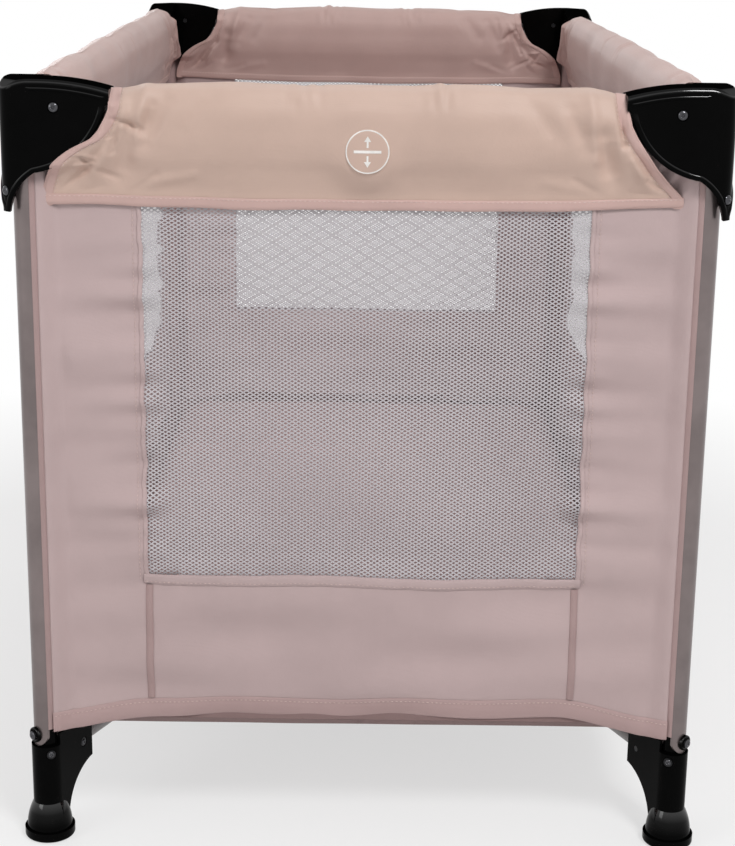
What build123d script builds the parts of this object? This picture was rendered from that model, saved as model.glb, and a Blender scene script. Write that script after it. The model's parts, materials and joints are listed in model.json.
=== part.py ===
from build123d import *
import os
from math import hypot, sqrt

os.makedirs("parts", exist_ok=True)

# Folding travel cot, millimetres. X runs along the short sides, Y along the long sides, Z up,
# with the origin on the floor under the middle of the cot.

# Overall layout
post_x = 312.0              # middle of the cot to a post's axis, along X
post_y = 610.0              # the same along Y
top_height = 755.0          # top of the corner brackets
run_gap = 0.3               # between pieces that only lie against each other
fit_gap = 0.1               # around pins, posts and plugs in their bores

# Posts
post_od = 25.0
post_wall = 1.2
tongue_length = 18.0        # the lower end is cut to two rounded tongues
tongue_width = 21.0

# Rails, each in two halves that meet in a centre lock
rail_od = 20.0
rail_wall = 1.2
pivot_drop = 25.0           # rail axis below the top of the bracket
pivot_reach = 30.0          # rail pivot from the post's axis
lock_half = 35.0            # rail pivot from the middle of the lock
pin_d = 6.0
rail_side_gap = 1.2         # rail to the side walls of its bracket or lock
rail_end_gap = 2.0          # rail's round end to the bracket's socket

# Corner brackets
bracket_out = 21.0          # post's axis to the outer faces
bracket_in = 16.0           # post's axis to the inner faces
bracket_length = 80.0       # post's axis to the end of a wing
bracket_height = 120.0      # at the tip below the outer corner
bracket_tip = 12.0          # where the tip's flat edge ends, outside the post's axis
bracket_end_drop = 9.0      # the top falls this much towards the end of a wing
bracket_end_height = 13.0
bracket_waist = 84.0        # height beside the post
bracket_waist_in = 11.0     # that place, from the post's axis
bracket_hollow = 5.0        # hollow of the lower edge between the tip and the waist
bracket_belly = 14.0        # swell of the lower edge from there to the end
bracket_end_slant = 3.0
bracket_corner_drop = 9.0   # the top falls this much towards the outer corner
bracket_corner_fall = 17.0  # length of that fall
bracket_corner_r = 16.0
bracket_edge_r = 5.0
bracket_roof = 4.5          # plastic over the channel at the end of a wing
post_cap = 18.0             # plastic over the post's end
post_screw_drop = 101.0     # screw at the outer corner, below the top

# Screws and rivets
screw_head_d = 9.0
screw_head_h = 2.4
screw_sink = 0.4            # heads lie this far below the face
bore_rim = 0.8              # counterbore around a head
shank_d = 4.0
shank_length = 14.0
washer_d = 15.0
washer_h = 2.0
washer_rise = 12.0          # washer's screw above the foot's shoulder
rivet_head_d = 9.0
rivet_head_h = 1.0

# Feet
base_z = 85.0               # axis of the base tubes
foot_shoulder = 100.0       # the post stands here
foot_r = 15.5
dome_z = 38.0               # the bell's dome starts here
dome_r = 22.5
bell_r = 25.0
bell_z = 10.0
sole_r = 3.0
plug_length = 50.0
ear_reach = 42.0            # base pivot from the post's axis
ear_end = 15.0              # ear past the pivot
ear_half = 15.5             # half its thickness
ear_top = 112.0
ear_lip = 20.0              # underside of the ear's end, below the pivot
ear_arch = (26.0, 49.0)     # the hollow under the ear passes here, from the post's axis and the floor
ear_root = (12.5, 18.0)     # and ends here
foot_screw_z = 92.0

# Base
base_od = 20.0
base_wall = 1.2
base_side_gap = 0.8
base_end_gap = 1.5
hub_half = 14.5             # half the thickness of a hub arm
hub_end = 10.0              # arm past its pivot
hub_tail = 32.0             # arm behind its pivot
hub_bottom = 66.0
hub_core_x = 27.0
hub_core_y = 36.0
leg_r = 13.0
leg_sole_r = 19.0
leg_sole_h = 9.0

# Centre locks and their push buttons
lock_wall = 2.3
lock_r = 15.0               # round ends of the side plates
lock_top = 8.0              # side plates above the rail axis
lock_web = 3.4
button_d = 40.0
button_drop = 36.0          # button's middle below the rail axis
button_h = 7.0
button_edge_r = 1.5
button_gap = 0.6            # to the edge of the cover's hole
button_travel = 5.0
stem_d = 14.0
tab_width = 46.0
tab_below = 24.0            # tab below the button's middle
tab_h = 4.0
tab_out = 6.0               # outer face of the tab from the rail's plane
latch_w = 16.0
latch_h = 3.0
latch_gap = 0.6             # around the latch in its slot
latch_drop = 4.0            # top of the latch below the rail axis
flange_d = 20.0

# Fabric covers of the rails
cover_half = 21.0           # half the thickness where a cover is fullest
cover_full_drop = 52.0      # that place, below the top
cover_shoulder = 17.0
cover_shoulder_drop = 9.0
cover_top_drop = 1.5
cover_bottom = 642.0
cover_hem_half = 4.0
cover_wall = 2.6
pocket_floor = 668.0        # floor of the pocket that holds the rail and the lock
cover_gap = 0.8             # to the bracket's edge

# Fabric walls with net windows
wall_t = 3.0
wall_bottom = 118.0
window_bottom = 276.0
panel_width = 104.0         # post's axis to the window
net_t = 1.2
net_border = 7.0
net_rows = 5
net_pitch = 50.0            # along the wall
net_bar = 7.0               # what the strips take from each gap

# Floor and mattress
floor_t = 2.5
floor_inset = 4.0           # floor's edge from the posts' plane
floor_notch = 1.5           # around the posts
mattress_t = 20.0
mattress_crown = 6.0
mattress_gap = 6.0          # to the rail covers
mattress_corner_r = 45.0
mattress_draw = 5.0         # the sides pull in this much between the corners
mattress_panels = 4

# Values that follow from the ones above
up = Vector(0, 0, 1)
post_r = post_od / 2
rail_r = rail_od / 2
base_r = base_od / 2
rail_z = top_height - pivot_drop
button_z = rail_z - button_drop
span_x = post_x - pivot_reach - lock_half
span_y = post_y - pivot_reach - lock_half
base_span = hypot(span_x, span_y)
pin_bore_r = pin_d / 2 + fit_gap
shank_bore_r = shank_d / 2 + fit_gap
head_bore_r = screw_head_d / 2 + bore_rim
head_depth = screw_head_h + screw_sink
channel_half = rail_r + rail_side_gap
channel_start = pivot_reach - rail_r - rail_end_gap
channel_roof_z = top_height - bracket_end_drop - bracket_roof
corner_out = (bracket_out - bracket_corner_r) * sqrt(2) + bracket_corner_r
base_slot_half = base_r + base_side_gap
lock_width_half = channel_half + lock_wall
latch_out = tab_out - tab_h - run_gap
cover_start = cover_half + 1.5 * run_gap
wall_top = cover_bottom - run_gap
floor_z = ear_top + run_gap
mattress_z = floor_z + floor_t + run_gap
far = post_x + post_y       # longer than any cut needs to be

corners = {
    "front_left": (-1, -1),
    "front_right": (1, -1),
    "back_right": (1, 1),
    "back_left": (-1, 1),
}

# Each side: direction of its rail, outward direction, half its length, its distance from the middle,
# and the names of its two halves with the way they lie along the rail
sides = {
    "front": (Vector(1, 0, 0), Vector(0, -1, 0), post_x, post_y, {"left": -1, "right": 1}),
    "right": (Vector(0, 1, 0), Vector(1, 0, 0), post_y, post_x, {"front": -1, "back": 1}),
    "back": (Vector(-1, 0, 0), Vector(0, 1, 0), post_x, post_y, {"right": -1, "left": 1}),
    "left": (Vector(0, -1, 0), Vector(-1, 0, 0), post_y, post_x, {"back": -1, "front": 1}),
}


def save(builder, name):
    builder.part.label = name
    export_step(builder.part, f"parts/{name}.step")


def upright(origin, along):
    # Sketch plane that stands up: its x runs along the given direction, its y up
    return Plane(origin=origin, x_dir=along, z_dir=along.cross(up))


def post_axis(corner):
    sx, sy = corners[corner]
    return Vector(sx * post_x, sy * post_y, 0)


def post_diagonal(corner):
    sx, sy = corners[corner]
    return Vector(sx, sy, 0) / sqrt(2)


def wing_directions(corner):
    # The two wings of a bracket, ordered so that the second lies to the left of the first
    sx, sy = corners[corner]
    inward_x = Vector(-sx, 0, 0)
    inward_y = Vector(0, -sy, 0)
    return (inward_x, inward_y) if sx == sy else (inward_y, inward_x)


def base_direction(corner):
    # From a foot to the hub
    sx, sy = corners[corner]
    return Vector(-sx * span_x, -sy * span_y, 0) / base_span


def foot_pivot(corner):
    return post_axis(corner) + base_direction(corner) * ear_reach + up * base_z


def hub_pivot(corner):
    return foot_pivot(corner) + base_direction(corner) * base_span


def lower_edge(shift):
    # Closed line around all that lies below a bracket's wing, moved down and inward by the shift
    top = top_height - shift
    tip = (shift - bracket_tip, top - bracket_height)
    waist = (bracket_waist_in + shift, top - bracket_waist)
    end = (bracket_length - bracket_end_slant + shift, top - bracket_end_drop - bracket_end_height)
    SagittaArc(tip, waist, bracket_hollow)
    SagittaArc(waist, end, -bracket_belly)
    Polyline(end, (far, end[1]), (far, -far), (-far, -far), (-far, tip[1]), tip)


def cover_outline(inset):
    # Crowned section of a rail cover, or of its pocket when drawn inside by the inset
    hem = (cover_hem_half - inset, cover_bottom + inset)
    full = (cover_half - inset, top_height - cover_full_drop)
    shoulder = (cover_shoulder - inset, top_height - cover_shoulder_drop - inset)
    ThreePointArc(hem, full, shoulder)
    ThreePointArc(shoulder, (0, top_height - cover_top_drop - inset), (-shoulder[0], shoulder[1]))
    ThreePointArc((-shoulder[0], shoulder[1]), (-full[0], full[1]), (-hem[0], hem[1]))
    Line((-hem[0], hem[1]), hem)


# Posts: steel tubes, with screw holes on the outer side
for corner in corners:
    axis = post_axis(corner)
    diagonal = post_diagonal(corner)
    with BuildPart() as post:
        with BuildSketch(Plane(origin=axis + up * (foot_shoulder + fit_gap))):
            Circle(post_r)
            Circle(post_r - post_wall, mode=Mode.SUBTRACT)
        extrude(amount=top_height - post_cap - foot_shoulder - 2 * fit_gap)
        with BuildSketch(upright(axis + up * (foot_shoulder + fit_gap), diagonal.cross(up))):
            Rectangle(2 * post_od, tongue_length, align=(Align.CENTER, Align.MIN))
            with Locations((0, tongue_length)):
                SlotOverall(2 * tongue_length, tongue_width, rotation=90, mode=Mode.SUBTRACT)
        extrude(amount=post_od, both=True, mode=Mode.SUBTRACT)
        for z in (foot_shoulder + washer_rise, top_height - post_screw_drop):
            with BuildSketch(Plane(origin=axis + up * z, z_dir=diagonal)):
                Circle(shank_bore_r)
            extrude(amount=post_od, mode=Mode.SUBTRACT)
    save(post, f"post_{corner}")

# Corner brackets: a socket for the post and two wings, each a channel open below for its rail
for corner in corners:
    axis = post_axis(corner)
    diagonal = post_diagonal(corner)
    wings = wing_directions(corner)
    with BuildPart() as bracket:
        with BuildSketch(Plane(origin=axis + up * (top_height - bracket_height), x_dir=wings[0], z_dir=up)):
            with Locations((-bracket_out, -bracket_out)):
                arm = bracket_out + bracket_length
                width = bracket_out + bracket_in
                Rectangle(arm, width, align=(Align.MIN, Align.MIN))
                Rectangle(width, arm, align=(Align.MIN, Align.MIN))
        extrude(amount=bracket_height)
        upright_edges = bracket.edges().filter_by(Axis.Z)
        fillet(upright_edges.sort_by(lambda e: (e.center() - axis).dot(diagonal))[-1], bracket_corner_r)
        # The top falls away in an arc towards the end of each wing
        for wing in wings:
            with BuildSketch(upright(axis, wing)):
                with BuildLine():
                    crest = (bracket_in, top_height)
                    end = (bracket_length, top_height - bracket_end_drop)
                    TangentArc(crest, end, tangent=(1, 0))
                    Polyline(end, (far, end[1]), (far, far), (crest[0], far), crest)
                make_face()
            extrude(amount=far, both=True, mode=Mode.SUBTRACT)
        # and towards the outer corner
        with BuildSketch(upright(axis, diagonal)):
            with BuildLine():
                crest = (corner_out - bracket_corner_fall, top_height)
                end = (corner_out, top_height - bracket_corner_drop)
                TangentArc(crest, end, tangent=(1, 0))
                Polyline(end, (far, end[1]), (far, far), (crest[0], far), crest)
            make_face()
        extrude(amount=far, both=True, mode=Mode.SUBTRACT)
        top_edges = bracket.faces().filter_by(lambda f: f.normal_at().Z > 0.5).edges()
        rim = bracket_out - bracket_corner_r
        outer_edges = [e for e in top_edges if min((e.center() - axis).dot(w) for w in wings) < -rim]
        fillet(outer_edges, bracket_edge_r)
        for wing in wings:
            with BuildSketch(upright(axis, wing)):
                with BuildLine():
                    lower_edge(0)
                make_face()
            extrude(amount=far, both=True, mode=Mode.SUBTRACT)
        for wing, other in (wings, wings[::-1]):
            pivot = axis + wing * pivot_reach + up * rail_z
            # Channel for the rail
            with BuildSketch(upright(axis, wing)):
                with Locations((channel_start, channel_roof_z)):
                    Rectangle(far, far, align=(Align.MIN, Align.MAX))
            extrude(amount=channel_half, both=True, mode=Mode.SUBTRACT)
            # Bore of the rail's screw, with a counterbore for its head
            with BuildSketch(Plane(origin=pivot, z_dir=other)):
                Circle(pin_bore_r)
            extrude(amount=2 * bracket_out, both=True, mode=Mode.SUBTRACT)
            with BuildSketch(Plane(origin=pivot - other * bracket_out, z_dir=other)):
                Circle(head_bore_r)
            extrude(amount=head_depth, mode=Mode.SUBTRACT)
        # Socket of the post and the bore of its screw
        with BuildSketch(Plane(origin=axis + up * (top_height - post_cap))):
            Circle(post_r + fit_gap)
        extrude(amount=-bracket_height, mode=Mode.SUBTRACT)
        seat = axis + diagonal * corner_out + up * (top_height - post_screw_drop)
        with BuildSketch(Plane(origin=seat, z_dir=-diagonal)):
            Circle(shank_bore_r)
        extrude(amount=corner_out, mode=Mode.SUBTRACT)
        with BuildSketch(Plane(origin=seat, z_dir=-diagonal)):
            Circle(head_bore_r)
        extrude(amount=head_depth, mode=Mode.SUBTRACT)
    save(bracket, f"bracket_{corner}")

# Feet: a turned body with a bell, a plug for the post, and an ear that carries the base tube
for corner in corners:
    axis = post_axis(corner)
    along = base_direction(corner)
    across = along.cross(up)
    pivot = foot_pivot(corner)
    with BuildPart() as foot:
        with BuildSketch(upright(axis, Vector(1, 0, 0))):
            with BuildLine():
                lip = (dome_r, bell_z)
                dome = (foot_r, dome_z)
                TangentArc(lip, dome, tangent=(0, 1))
                Polyline(dome, (foot_r, foot_shoulder), (0, foot_shoulder), (0, 0), (bell_r, 0),
                         (bell_r, bell_z), lip)
            make_face()
        revolve(axis=Axis(axis, up))
        fillet(foot.faces().sort_by(Axis.Z)[0].edges(), sole_r)
        with BuildSketch(upright(axis, along)):
            with BuildLine():
                nose = ear_reach + ear_end
                lip = (nose, base_z - ear_lip)
                ThreePointArc(lip, ear_arch, ear_root)
                Polyline(ear_root, (0, ear_root[1]), (0, ear_top), (nose, ear_top), lip)
            make_face()
        extrude(amount=ear_half, both=True)
        with BuildSketch(upright(axis, along)):
            with Locations((ear_reach - base_r - base_end_gap, base_z - base_r - base_end_gap)):
                Rectangle(far, far, align=(Align.MIN, Align.MIN))
        extrude(amount=base_slot_half, both=True, mode=Mode.SUBTRACT)
        with BuildSketch(Plane(origin=pivot, z_dir=across)):
            Circle(pin_bore_r)
        extrude(amount=2 * ear_half, both=True, mode=Mode.SUBTRACT)
        with BuildSketch(Plane(origin=pivot + across * ear_half, z_dir=-across)):
            Circle(head_bore_r)
        extrude(amount=head_depth, mode=Mode.SUBTRACT)
        # Socket and plug of the post
        with BuildSketch(Plane(origin=axis + up * foot_shoulder)):
            Circle(post_r + fit_gap)
        extrude(amount=far, mode=Mode.SUBTRACT)
        with BuildSketch(Plane(origin=axis + up * foot_shoulder)):
            Circle(post_r - post_wall - fit_gap)
        extrude(amount=plug_length)
        # Bores of the washer's screw and of the screw in the body
        washer_seat = axis + up * (foot_shoulder + washer_rise)
        with BuildSketch(Plane(origin=washer_seat, z_dir=post_diagonal(corner))):
            Circle(shank_bore_r)
        extrude(amount=foot_r, mode=Mode.SUBTRACT)
        side = Vector(along.X, -along.Y, 0)
        seat = axis + side * foot_r + up * foot_screw_z
        with BuildSketch(Plane(origin=seat, z_dir=-side)):
            Circle(shank_bore_r)
        extrude(amount=head_depth + shank_length, mode=Mode.SUBTRACT)
        with BuildSketch(Plane(origin=seat, z_dir=-side)):
            Circle(head_bore_r)
        extrude(amount=head_depth, mode=Mode.SUBTRACT)
    save(foot, f"foot_{corner}")

# Screws of each corner: two rail pivots, the base pivot, and three that hold the post and the foot
for corner in corners:
    axis = post_axis(corner)
    diagonal = post_diagonal(corner)
    along = base_direction(corner)
    across = along.cross(up)
    wings = wing_directions(corner)
    side = Vector(along.X, -along.Y, 0)
    washer_seat = axis + diagonal * (post_r + fit_gap + washer_h) + up * (foot_shoulder + washer_rise)
    # Underside of the head, the way the shank runs, its length and its diameter
    screws = [
        (foot_pivot(corner) + across * (ear_half - head_depth), -across, 2 * ear_half - head_depth, pin_d),
        (axis + side * (foot_r - head_depth) + up * foot_screw_z, -side, shank_length, shank_d),
        (axis + diagonal * (corner_out - head_depth) + up * (top_height - post_screw_drop), -diagonal,
         shank_length, shank_d),
        (washer_seat, -diagonal, shank_length, shank_d),
    ]
    for wing, other in (wings, wings[::-1]):
        seat = axis + wing * pivot_reach + up * rail_z - other * (bracket_out - head_depth)
        screws.append((seat, other, bracket_out + bracket_in - head_depth, pin_d))
    with BuildPart() as screw_set:
        for seat, way, length, thick in screws:
            with BuildSketch(Plane(origin=seat, z_dir=way)):
                Circle(thick / 2)
            extrude(amount=length)
            with BuildSketch(Plane(origin=seat, z_dir=-way)):
                Circle(screw_head_d / 2)
            extrude(amount=screw_head_h)
        with BuildSketch(Plane(origin=washer_seat, z_dir=-diagonal)):
            Circle(washer_d / 2)
        extrude(amount=washer_h)
    save(screw_set, f"screws_{corner}")

# Rails: tube halves with round ends, each with a bore at the bracket and one at the lock
for side, (along, out, half, distance, halves) in sides.items():
    span = half - pivot_reach - lock_half
    for name, way in halves.items():
        middle = way * (lock_half + span / 2)
        with BuildPart() as rail:
            with BuildSketch(Plane(origin=out * distance + up * rail_z, x_dir=out, z_dir=along * way)):
                Circle(rail_r)
                Circle(rail_r - rail_wall, mode=Mode.SUBTRACT)
            extrude(amount=half)
            with BuildSketch(Plane(origin=out * distance, x_dir=along, z_dir=out)):
                with Locations((middle, rail_z)):
                    SlotCenterToCenter(span, rail_od)
                with Locations((middle - span / 2, rail_z), (middle + span / 2, rail_z)):
                    Circle(pin_bore_r, mode=Mode.SUBTRACT)
            extrude(amount=rail_od, both=True, mode=Mode.INTERSECT)
        save(rail, f"rail_{side}_{name}")

# Centre locks: a channel open above, in which both rails turn, with a tab for the push button
for side, (along, out, half, distance, halves) in sides.items():
    plane = Plane(origin=out * distance, x_dir=along, z_dir=out)
    web_z = rail_z - lock_r
    with BuildPart() as lock:
        with BuildSketch(plane):
            with Locations((0, rail_z)):
                SlotCenterToCenter(2 * lock_half, 2 * lock_r)
            with Locations((0, rail_z + lock_top)):
                Rectangle(far, far, align=(Align.CENTER, Align.MIN), mode=Mode.SUBTRACT)
            with Locations((-lock_half, rail_z), (lock_half, rail_z)):
                Circle(pin_bore_r, mode=Mode.SUBTRACT)
        extrude(amount=lock_width_half, both=True)
        with BuildSketch(plane):
            with Locations((0, web_z + lock_web)):
                Rectangle(far, far, align=(Align.CENTER, Align.MIN))
        extrude(amount=channel_half, both=True, mode=Mode.SUBTRACT)
        with BuildSketch(plane.offset(tab_out - tab_h)):
            with Locations((0, button_z - tab_below)):
                Rectangle(tab_width, web_z + lock_web - button_z + tab_below, align=(Align.CENTER, Align.MIN))
            with Locations((0, button_z)):
                Circle(stem_d / 2 + fit_gap, mode=Mode.SUBTRACT)
        extrude(amount=tab_h)
        # Slot for the latch, as long as the button's travel
        with BuildSketch(plane.offset(latch_out + latch_gap / 2)):
            with Locations((0, web_z)):
                Rectangle(latch_w + 2 * latch_gap, 4 * lock_web)
        extrude(amount=-(latch_h + button_travel + latch_gap), mode=Mode.SUBTRACT)
    save(lock, f"lock_{side}")
    with BuildPart() as pins:
        for way in (-1, 1):
            pivot = out * distance + along * (way * lock_half) + up * rail_z
            with BuildSketch(Plane(origin=pivot, z_dir=out)):
                Circle(pin_d / 2)
            extrude(amount=lock_width_half, both=True)
            for face in (-1, 1):
                head = out * (distance + face * lock_width_half) + along * (way * lock_half) + up * rail_z
                with BuildSketch(Plane(origin=head, z_dir=out * face)):
                    Circle(rivet_head_d / 2)
                extrude(amount=rivet_head_h)
    save(pins, f"lock_pins_{side}")
    with BuildPart() as button:
        with BuildSketch(plane.offset(cover_half - button_h)):
            with Locations((0, button_z)):
                Circle(button_d / 2)
        extrude(amount=button_h)
        rim = button.faces().sort_by(lambda f: f.center().dot(out))[-1].edges()
        fillet(rim, button_edge_r)
        with BuildSketch(plane.offset(latch_out - latch_h)):
            with Locations((0, button_z)):
                Circle(stem_d / 2)
        extrude(amount=cover_half - button_h - latch_out + latch_h)
        with BuildSketch(plane.offset(latch_out - latch_h)):
            with Locations((0, button_z)):
                Circle(flange_d / 2)
                Rectangle(latch_w, button_drop - latch_drop, align=(Align.CENTER, Align.MIN))
        extrude(amount=latch_h)
    save(button, f"button_{side}")

# Rail covers: padded sleeves with a crowned section, cut along the brackets, open around the button
for side, (along, out, half, distance, halves) in sides.items():
    for name, way in halves.items():
        root = out * distance + along * (way * half)
        section = upright(out * distance + along * (way * run_gap / 2), out)
        with BuildPart() as cover:
            with BuildSketch(section):
                with BuildLine():
                    cover_outline(0)
                make_face()
            extrude(amount=-way * (half - cover_start - run_gap / 2))
            with BuildSketch(section):
                with BuildLine():
                    cover_outline(cover_wall)
                make_face()
                with Locations((0, pocket_floor)):
                    Rectangle(far, far, align=(Align.CENTER, Align.MAX), mode=Mode.SUBTRACT)
            extrude(amount=-way * half, mode=Mode.SUBTRACT)
            with BuildSketch(upright(root, along * -way)):
                with BuildLine():
                    lower_edge(cover_gap)
                make_face()
                with Locations((bracket_length + cover_gap, 0)):
                    Rectangle(far, 2 * far, align=(Align.MIN, Align.CENTER))
            extrude(amount=2 * cover_half, both=True, mode=Mode.INTERSECT)
            with BuildSketch(Plane(origin=out * distance + up * button_z, x_dir=along, z_dir=out)):
                Circle(button_d / 2 + button_gap)
            extrude(amount=2 * cover_half, mode=Mode.SUBTRACT)
        save(cover, f"cover_{side}_{name}")

# Walls: fabric panels around three sides of a net window
for side, (along, out, half, distance, halves) in sides.items():
    plane = Plane(origin=out * distance, x_dir=along, z_dir=out)
    window = 2 * (half - panel_width)
    with BuildPart() as wall:
        with BuildSketch(plane):
            with Locations((0, wall_bottom)):
                wall_width = 2 * (half - post_r - run_gap)
                Rectangle(wall_width, wall_top - wall_bottom, align=(Align.CENTER, Align.MIN))
            with Locations((0, window_bottom)):
                Rectangle(window, far, align=(Align.CENTER, Align.MIN), mode=Mode.SUBTRACT)
        extrude(amount=wall_t / 2, both=True)
    save(wall, f"wall_{side}")
    net_width = window - 2 * run_gap
    net_height = wall_top - window_bottom - run_gap
    columns = int((net_width - 2 * net_border) // net_pitch)
    step_x = (net_width - 2 * net_border) / columns
    step_z = (net_height - 2 * net_border) / net_rows
    gap_x = (step_x - net_bar) / 2
    gap_z = (step_z - net_bar) / 2
    with BuildPart() as net:
        with BuildSketch(plane.shift_origin(out * distance + up * (wall_top - net_height / 2))):
            Rectangle(net_width, net_height)
            with GridLocations(step_x, step_z, columns, net_rows):
                Polygon((gap_x, 0), (0, gap_z), (-gap_x, 0), (0, -gap_z), mode=Mode.SUBTRACT)
            with GridLocations(step_x, step_z, columns - 1, net_rows - 1):
                Polygon((gap_x, 0), (0, gap_z), (-gap_x, 0), (0, -gap_z), mode=Mode.SUBTRACT)
        extrude(amount=net_t / 2, both=True)
    save(net, f"net_{side}")

# Base tubes from the feet to the hub
for corner in corners:
    along = base_direction(corner)
    middle = (foot_pivot(corner) + hub_pivot(corner)) / 2
    with BuildPart() as tube:
        with BuildSketch(Plane(origin=middle, z_dir=along)):
            Circle(base_r)
            Circle(base_r - base_wall, mode=Mode.SUBTRACT)
        extrude(amount=base_span / 2 + base_od, both=True)
        with BuildSketch(upright(middle, along)):
            SlotCenterToCenter(base_span, base_od)
            with Locations((-base_span / 2, 0), (base_span / 2, 0)):
                Circle(pin_bore_r, mode=Mode.SUBTRACT)
        extrude(amount=base_od, both=True, mode=Mode.INTERSECT)
    save(tube, f"base_tube_{corner}")

# Hub: four slotted arms, open below, over a short leg
with BuildPart() as hub:
    for corner in corners:
        along = base_direction(corner)
        pivot = hub_pivot(corner)
        with BuildSketch(upright(pivot, along)):
            with Locations((-hub_end, hub_bottom - base_z)):
                Rectangle(hub_end + hub_tail, ear_top - hub_bottom, align=(Align.MIN, Align.MIN))
        extrude(amount=hub_half, both=True)
    with BuildSketch(Plane.XY.offset(hub_bottom)):
        RectangleRounded(2 * hub_core_x, 2 * hub_core_y, leg_r)
    extrude(amount=ear_top - hub_bottom)
    for corner in corners:
        along = base_direction(corner)
        pivot = hub_pivot(corner)
        with BuildSketch(upright(pivot, along)):
            with Locations((base_r + base_end_gap, base_r + base_side_gap)):
                Rectangle(far, far, align=(Align.MAX, Align.MAX))
        extrude(amount=base_slot_half, both=True, mode=Mode.SUBTRACT)
        with BuildSketch(Plane(origin=pivot, z_dir=along.cross(up))):
            Circle(pin_bore_r)
        extrude(amount=2 * hub_half, both=True, mode=Mode.SUBTRACT)
    with BuildSketch(Plane.XY):
        Circle(leg_r)
    extrude(amount=hub_bottom)
    with BuildSketch(Plane.XY):
        Circle(leg_sole_r)
    extrude(amount=leg_sole_h)
save(hub, "hub")

with BuildPart() as hub_pins:
    for corner in corners:
        across = base_direction(corner).cross(up)
        pivot = hub_pivot(corner)
        with BuildSketch(Plane(origin=pivot, z_dir=across)):
            Circle(pin_d / 2)
        extrude(amount=hub_half, both=True)
        for face in (-1, 1):
            with BuildSketch(Plane(origin=pivot + across * (face * hub_half), z_dir=across * face)):
                Circle(rivet_head_d / 2)
            extrude(amount=rivet_head_h)
save(hub_pins, "hub_pins")

# Floor sheet on the ears and the hub, cut out around the posts
with BuildPart() as floor_sheet:
    with BuildSketch(Plane.XY.offset(floor_z)):
        Rectangle(2 * (post_x - floor_inset), 2 * (post_y - floor_inset))
        with GridLocations(2 * post_x, 2 * post_y, 2, 2):
            Circle(post_r + floor_notch, mode=Mode.SUBTRACT)
    extrude(amount=floor_t)
save(floor_sheet, "floor_sheet")

# Mattress: panels with a crown each, whose seams make the fold channels, and sides that pull in
mattress_x = post_x - cover_half - mattress_gap
mattress_y = post_y - cover_half - mattress_gap
with BuildPart() as mattress:
    with BuildSketch(Plane.XY.offset(mattress_z)):
        with BuildLine():
            drawn_x = mattress_x - mattress_draw
            drawn_y = mattress_y - mattress_draw
            ThreePointArc((-mattress_x, -mattress_y), (0, -drawn_y), (mattress_x, -mattress_y))
            ThreePointArc((mattress_x, -mattress_y), (drawn_x, 0), (mattress_x, mattress_y))
            ThreePointArc((mattress_x, mattress_y), (0, drawn_y), (-mattress_x, mattress_y))
            ThreePointArc((-mattress_x, mattress_y), (-drawn_x, 0), (-mattress_x, -mattress_y))
        make_face()
        fillet(vertices(), mattress_corner_r)
    extrude(amount=mattress_t + mattress_crown)
    with BuildSketch(upright(Vector(0, 0, mattress_z), Vector(0, 1, 0))):
        with BuildLine():
            panel = 2 * mattress_y / mattress_panels
            for i in range(mattress_panels):
                start = i * panel - mattress_y
                ThreePointArc((start, mattress_t), (start + panel / 2, mattress_t + mattress_crown),
                              (start + panel, mattress_t))
            Polyline((mattress_y, mattress_t), (mattress_y, 0), (-mattress_y, 0), (-mattress_y, mattress_t))
        make_face()
    extrude(amount=mattress_x, both=True, mode=Mode.INTERSECT)
save(mattress, "mattress")
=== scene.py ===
import json
import math
import bpy
import numpy as np
from mathutils import Matrix, Vector


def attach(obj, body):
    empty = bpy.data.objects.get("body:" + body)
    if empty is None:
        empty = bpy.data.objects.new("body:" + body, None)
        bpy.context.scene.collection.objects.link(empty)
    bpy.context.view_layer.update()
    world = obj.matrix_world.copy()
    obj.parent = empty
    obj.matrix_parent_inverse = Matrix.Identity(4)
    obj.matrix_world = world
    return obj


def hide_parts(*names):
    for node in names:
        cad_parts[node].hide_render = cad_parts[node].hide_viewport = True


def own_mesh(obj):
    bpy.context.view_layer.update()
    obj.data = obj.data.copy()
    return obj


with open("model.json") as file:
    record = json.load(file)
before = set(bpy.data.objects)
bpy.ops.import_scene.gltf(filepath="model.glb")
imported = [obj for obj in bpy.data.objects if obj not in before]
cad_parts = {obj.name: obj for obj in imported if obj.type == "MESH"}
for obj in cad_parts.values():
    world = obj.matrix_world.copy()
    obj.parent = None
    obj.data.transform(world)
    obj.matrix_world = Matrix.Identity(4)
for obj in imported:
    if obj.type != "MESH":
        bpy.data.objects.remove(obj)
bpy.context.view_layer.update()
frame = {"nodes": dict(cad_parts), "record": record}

print("solids loaded")

# half the spacing of the posts, the way to each corner, and the way a base tube runs from its foot to the hub
postX, postY = 0.312, 0.610
corners = {"front_left": (-1, -1), "front_right": (1, -1), "back_right": (1, 1), "back_left": (-1, 1)}
tubeX, tubeY = 0.4128, 0.9108
# the four sides, as seen from outside: along runs to the right, out points away
sides = {
    "front": dict(along=(1, 0), out=(0, -1), half=postX, dist=postY, halves=("left", "right")),
    "right": dict(along=(0, 1), out=(1, 0), half=postY, dist=postX, halves=("front", "back")),
    "back": dict(along=(-1, 0), out=(0, 1), half=postX, dist=postY, halves=("right", "left")),
    "left": dict(along=(0, -1), out=(-1, 0), half=postY, dist=postX, halves=("back", "front")),
}
# the post each wall gathers towards when the cot is folded, and the share of its width that is left
wallRide = {
    "front": dict(corner="front_left", axis=(1, 0, 0), keep=0.277),
    "left": dict(corner="front_left", axis=(0, 1, 0), keep=0.184),
    "right": dict(corner="front_right", axis=(0, 1, 0), keep=0.184),
    "back": dict(corner="back_left", axis=(1, 0, 0), keep=0.277),
}
upward = np.array([0, 0, 1.0])


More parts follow.
